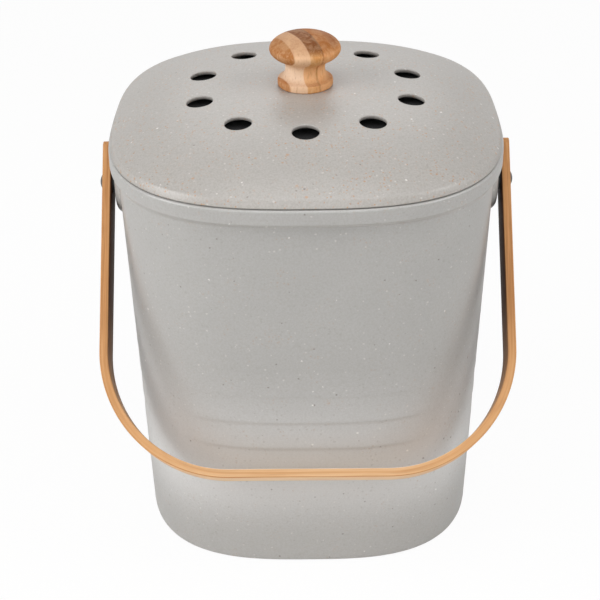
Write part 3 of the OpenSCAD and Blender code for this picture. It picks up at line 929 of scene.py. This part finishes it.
def vent_patches(inner, outer, drop, rolled):
    """Fills the zone between two rings with ten patches. Returns each vent's mouth."""
    arc = COLUMNS // vent_count
    sides = 16
    points = lid_skin.points
    spokes = []
    for k in range(vent_count):
        one = np.array(points[inner[k * arc]])[:2]
        two = np.array(points[outer[k * arc]])[:2]
        steps = np.linspace(0, 1, sides + 1)[1:-1, None]
        spokes.append(dome_points(one + (two - one) * steps, drop))
    mouths = []
    for k in range(vent_count):
        ends = [(k * arc + i) % COLUMNS for i in range(arc + 1)]
        edge_line = [inner[i] for i in ends] + spokes[(k + 1) % vent_count]
        edge_line += [outer[i] for i in reversed(ends)] + spokes[k][::-1]
        rim = np.array([points[i][:2] for i in edge_line])
        angle = math.radians(-90 + 360 / vent_count * k)
        centre = vent_circle_r * np.array([math.cos(angle), math.sin(angle)])
        # The patch's edge runs the other way round the vent than an angle grows.
        count = len(edge_line)
        turned = angle + math.pi + (math.pi * arc - 2 * math.pi * np.arange(count)) / count
        circle = np.column_stack([np.cos(turned), np.sin(turned)])
        mouth = centre + circle * (vent_r + rolled)
        rings = [edge_line]
        for t in (0.80, 0.58, 0.36, 0.17, 0.06, 0):
            rings.append(dome_points(mouth + (rim - mouth) * t, drop))
        lid_skin.loft(rings)
        mouths.append((rings[-1], centre, circle))
    return mouths


def vent_wall(top, bottom, centre, circle):
    """Rolls the dome's skin over the vent's mouth, down its wall and out to the underside."""
    top_z, low_z = (np.array([lid_skin.points[i][2] for i in ring]) for ring in (top, bottom))
    rings = [top]
    rolls = [(top_z, vent_round, -1, (25, 50, 72, 90)), (low_z, vent_under_round, 1, (90, 60, 30))]
    for start_z, radius, sign, angles in rolls:
        for t in np.radians(angles):
            xy = centre + circle * (vent_r + radius * (1 - math.sin(t)))
            z = start_z + sign * radius * (1 - math.cos(t))
            rings.append(lid_skin.add(np.column_stack([xy, z])))
    lid_skin.loft(rings + [bottom])


# %% Lid top
crown_radii = [stud_hole_r, 6.0, 9.5, 13, land_r, 18, 21.5, 26, 31, 36, 40.5, patch_in]
top_inner = [dome_ring(r, 0) for r in crown_radii]
lid_skin.loft(top_inner)
rim_line = plan_radius(crease_a - shoulder_in, crease_b - shoulder_in, rim_power)
top_outer = [dome_ring(patch_out + (rim_line - patch_out) * t, 0)
             for t in (0, 0.12, 0.25, 0.38, 0.5, 0.61, 0.71, 0.8, 0.88, 0.94, 0.98, 1)]
lid_skin.loft(top_outer)
top_mouths = vent_patches(top_inner[-1], top_outer[0], 0, vent_round)


# %% [markdown]
# Below the dome's edge the lid turns over a soft crease into a short leaning side, rounds under
# at its foot and rests on the rim. A locating ring drops inside the bin, and a thinner ring under
# the dome houses the pad.

# %% Lid side and underside
def lid_row(z, inset):
    """A row of the lid's outline moved inwards by inset."""
    return np.array([z, lid_a - inset, lid_b - inset, rim_power])


def plug_row(z, inset):
    """A row of the locating ring, which follows the bin's inner wall."""
    return np.array([z, plug_a - inset, plug_a + depth_more - inset, wall_power])


side_rows = rounded([
    lid_row(dome_at(1 - shoulder_in / crease_a), lid_lean + shoulder_in),
    lid_row(edge_z + 0.05, lid_lean),
    lid_row(rim_z + 0.95, 0),
    lid_row(rim_z + 0.5, 0.1),
    lid_row(rim_z + 0.5, 2.0),
    lid_row(rim_z, 2.1),
    plug_row(rim_z, 0),
    plug_row(rim_z - plug_depth, 0.5),
    plug_row(rim_z - plug_depth, plug_t),
    plug_row(dome_at(0.95) - lid_t, plug_t),
    np.array([dome_at(0.84) - lid_t, crease_a * 0.84, crease_b * 0.84, 2.6]),
], [0, 1.3, 0.3, 0.25, 0, 0, 0.4, 0.7, 0.7, 2.5, 0])
side_rows = filled(side_rows[1:], 3.0)
housing_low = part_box("filter_pad")[1].z * 1000 - 3
housing = rounded([
    circle_row(dome_at((housing_r + 2) / crease_a) - lid_t, housing_r + 2),
    circle_row(housing_low, housing_r + housing_t),
    circle_row(housing_low, housing_r),
    circle_row(dome_at(housing_r / crease_a) - lid_t, housing_r),
], [0, 0.5, 0.5, 0])
outside_rings = [top_outer[-1]] + lid_skin.rows(side_rows + housing)
under_outer = dome_ring(patch_out, lid_t)
lid_skin.loft(outside_rings + [under_outer])
under_inner = [dome_ring(r, lid_t) for r in (patch_in, 38.0, 31.0, 24.0, 18.0)]
boss = rounded([
    circle_row(crown_z - lid_t, land_r - 2.0),
    circle_row(boss_z, land_r - 3),
    circle_row(boss_z, stud_hole_r),
], [0, 0.6, 0])
lid_skin.loft(under_inner + lid_skin.rows(boss) + [top_inner[0]])
under_mouths = vent_patches(under_inner[0], under_outer, lid_t, vent_under_round)
for (top, centre, circle), (bottom, _, _) in zip(top_mouths, under_mouths):
    vent_wall(top, bottom, centre, circle)
caddy_lid = lid_skin.piece("caddy_lid", lid_shell, "lid_body")
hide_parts("lid")

# %% [markdown]
# ## Piece 3: the knob
# A knob is turned on a lathe, so its mesh is one profile swept round the axis. The profile reads
# from the foot up: a foot with rounded edges, a hollow neck, and a head that is a flattened ball.

# %% Knob
knob_foot = 13.5
knob_neck = 9.6
knob_head = 17.3
knob_h = 26.1
head_high = 7.7
head_low = 6.4
foot_h = 3.4
widest = knob_h - head_high
neck_z = (foot_h + widest - head_low) / 2 + 1.2
flare_r = knob_foot - 0.5
flare_z = foot_h + 0.5
chin_r = knob_head * 0.68
chin_z = widest - head_low + 0.6

# Radius and height in mm. The foot's edges are broken with fine sandpaper.
profile = [(0.6, 0.0), (6.0, 0.0)]
foot_cuts = [(0.9, 0), (0.45, 0.1), (0.12, 0.42), (0, 0.95), (0, 1.7), (0, 2.5), (0.05, 3.1),
             (0.25, 3.6)]
profile += [(knob_foot - cut, z) for cut, z in foot_cuts]
profile += [(flare_r - (flare_r - knob_neck) * math.sin(t),
             flare_z + (neck_z - flare_z) * (1 - math.cos(t))) for t in sweep(8, 90, 16)]
profile += [(knob_neck + (chin_r - knob_neck) * (1 - math.cos(t)),
             neck_z + (chin_z - neck_z) * math.sin(t)) for t in sweep(8, 78, 12)]
for first, last, count, half_height in ((-46, -3, 14, head_low * 1.08), (0, 88, 30, head_high)):
    profile += [(knob_head * math.cos(t), widest + half_height * math.sin(t))
                for t in sweep(first, last, count)]
knob_skin = Skin()
knob_rings = knob_skin.rows(circle_row(crown_z + z, r) for r, z in profile)
knob_skin.loft(knob_rings)
knob_skin.cap(knob_rings[0], crown_z)
knob_skin.cap(knob_rings[-1], crown_z + knob_h)
caddy_knob = knob_skin.piece("caddy_knob", knob_bamboo, "lid_body", sharp=60)
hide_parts("knob")


# %% [markdown]
# ## Piece 4: the handle
# The handle hangs from its bolts with the bar leaning on the front wall. It is worked out flat,
# in the plane of the bail: x is to the side and t is the distance from the pivot line towards the
# bar. A section with eased edges is swept along that path, and the strip narrows in an arc at
# both ends.

# %% Handle sizes and path
strip_t = 4.4
strip_w = 18.6
reach = 150.4
bend_r = 63.0
end_beyond = 19.4
end_corner = 4.0
ease = 0.5
rest_gap = 0.3
handle_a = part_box("handle")[1].x * 1000
straight = reach - bend_r
bend_x = handle_a - bend_r
bend_length = bend_r * math.pi / 2
strip_half = end_beyond + straight + bend_length + bend_x

# The bar's inner edge touches the sloping front wall, which sets how far the handle tilts.
front_slope = (top_a + depth_more - base_b) / rim_z
touch_b = wall_row(pivot_z, 0)[2] + rest_gap
swing_r = math.hypot(reach - strip_t, strip_w / 2)
tilt = (math.asin(touch_b / (swing_r * math.hypot(1, front_slope)))
        + math.atan2(strip_w / 2, reach - strip_t) - math.atan(front_slope))
print("handle tilt, degrees:", round(math.degrees(tilt), 2))

down_bail = np.array([0, -math.sin(tilt), -math.cos(tilt)])
across_strip = np.array([0, -math.cos(tilt), math.sin(tilt)])
pivot = np.array([0, 0, pivot_z])


def outline_steps(sign):
    """The outer line of one half, from its end to the middle: (x, t, outward x, outward t)."""
    near_end = [-end_beyond + e for e in (0, 0.25, 0.6, 1.1, 1.8, 2.7, 4.0)]
    steps = [(sign * handle_a, t, sign, 0.0)
             for t in near_end + list(np.linspace(-end_beyond + 6, straight, 30))]
    for a in sweep(0, 90, 40)[1:]:
        steps.append((sign * (bend_x + bend_r * math.cos(a)), straight + bend_r * math.sin(a),
                      sign * math.cos(a), math.sin(a)))
    return steps + [(sign * x, reach, 0.0, 1.0) for x in np.linspace(bend_x, 0, 12)[1:]]


path = outline_steps(-1) + outline_steps(1)[::-1][1:]


# %% Handle sweep
def strip_section(half_w, shrink):
    """The strip's section with eased edges: (depth from the outer face, across)."""
    out = []
    for k, (inner, side) in enumerate([(False, -1), (False, 1), (True, 1), (True, -1)]):
        depth = strip_t - shrink - ease if inner else shrink + ease
        across = side * (half_w - ease)
        for a in sweep(270 - 90 * k, 180 - 90 * k, 4):
            out.append((depth + ease * math.cos(a), across + ease * math.sin(a)))
    return out


handle_skin = Skin()
handle_rings = []
for x, t, out_x, out_t in path:
    from_end = t + end_beyond
    half_w = strip_w / 2
    shrink = 0.0
    if from_end < end_corner:
        half_w += math.sqrt(end_corner ** 2 - (end_corner - from_end) ** 2) - end_corner
        shrink = max(0.0, 0.35 - from_end * 0.7)
    ring = []
    for depth, w in strip_section(half_w, shrink):
        side_part = np.array([x - out_x * depth, 0, 0])
        ring.append(pivot + side_part + down_bail * (t - out_t * depth) + across_strip * w)
    handle_rings.append(handle_skin.add(ring))
handle_skin.loft(handle_rings)
handle_skin.faces += [handle_rings[0], handle_rings[-1][::-1]]
bamboo_strip = bent_bamboo("bent_three_ply_bamboo", strip_t, strip_half)
caddy_handle = handle_skin.piece("caddy_handle", bamboo_strip, "handle_body", sharp=50)

# %% [markdown]
# The bolt holes are cut through both arms, and then each point gets its place in the straight
# strip. That place is worked out backwards from the bail's outline, so the cut edges get one too.

# %% Handle holes and strip coordinates
handle_hole_r = 2.55
for side in (-1, 1):
    cut_bolt_hole(caddy_handle, handle_hole_r, handle_a - 8, handle_a + 4, side)


def strip_place(point):
    """Millimetres along, across and through the straight strip, for a point of the bent one."""
    local = np.array(point) * 1000 - pivot
    x = abs(local[0])
    t = float(local @ down_bail)
    w = float(local @ across_strip)
    if t <= straight:
        along, through = t + end_beyond, handle_a - x
    elif x <= bend_x:
        along, through = strip_half - x, reach - t
    else:
        angle = math.atan2(t - straight, x - bend_x)
        along = end_beyond + straight + bend_r * angle
        through = bend_r - math.hypot(x - bend_x, t - straight)
    return (along if local[0] < 0 else 2 * strip_half - along, w, through)


places = mark_points(caddy_handle, "strip_mm", strip_place)
caddy_handle.data.set_sharp_from_angle(angle=math.radians(50))
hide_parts("handle")
print("strip length, mm:", round(max(places[0::3]), 1))

# %% [markdown]
# ## The fittings
# Bolts, washers, nuts, spacers, tray and pad have their true shape in the CAD, so they only take
# a material.

# %% Finish the CAD nodes
finishes = [
    (steel, ["knob_stud", "lid_washer", "lid_nut", "inner_washer_left", "inner_washer_right",
             "cap_nut_left", "cap_nut_right"]),
    (steel_painted_dark, ["pivot_bolt_left", "pivot_bolt_right"]),
    (nylon, ["spacer_left", "spacer_right", "thumb_nut"]),
    (lid_shell, ["filter_tray"]),
    (felt, ["filter_pad"]),
]
for material, names in finishes:
    for name in names:
        nodes[name].data.materials.clear()
        nodes[name].data.materials.append(material)
print("finished nodes:", sum(len(names) for _, names in finishes))
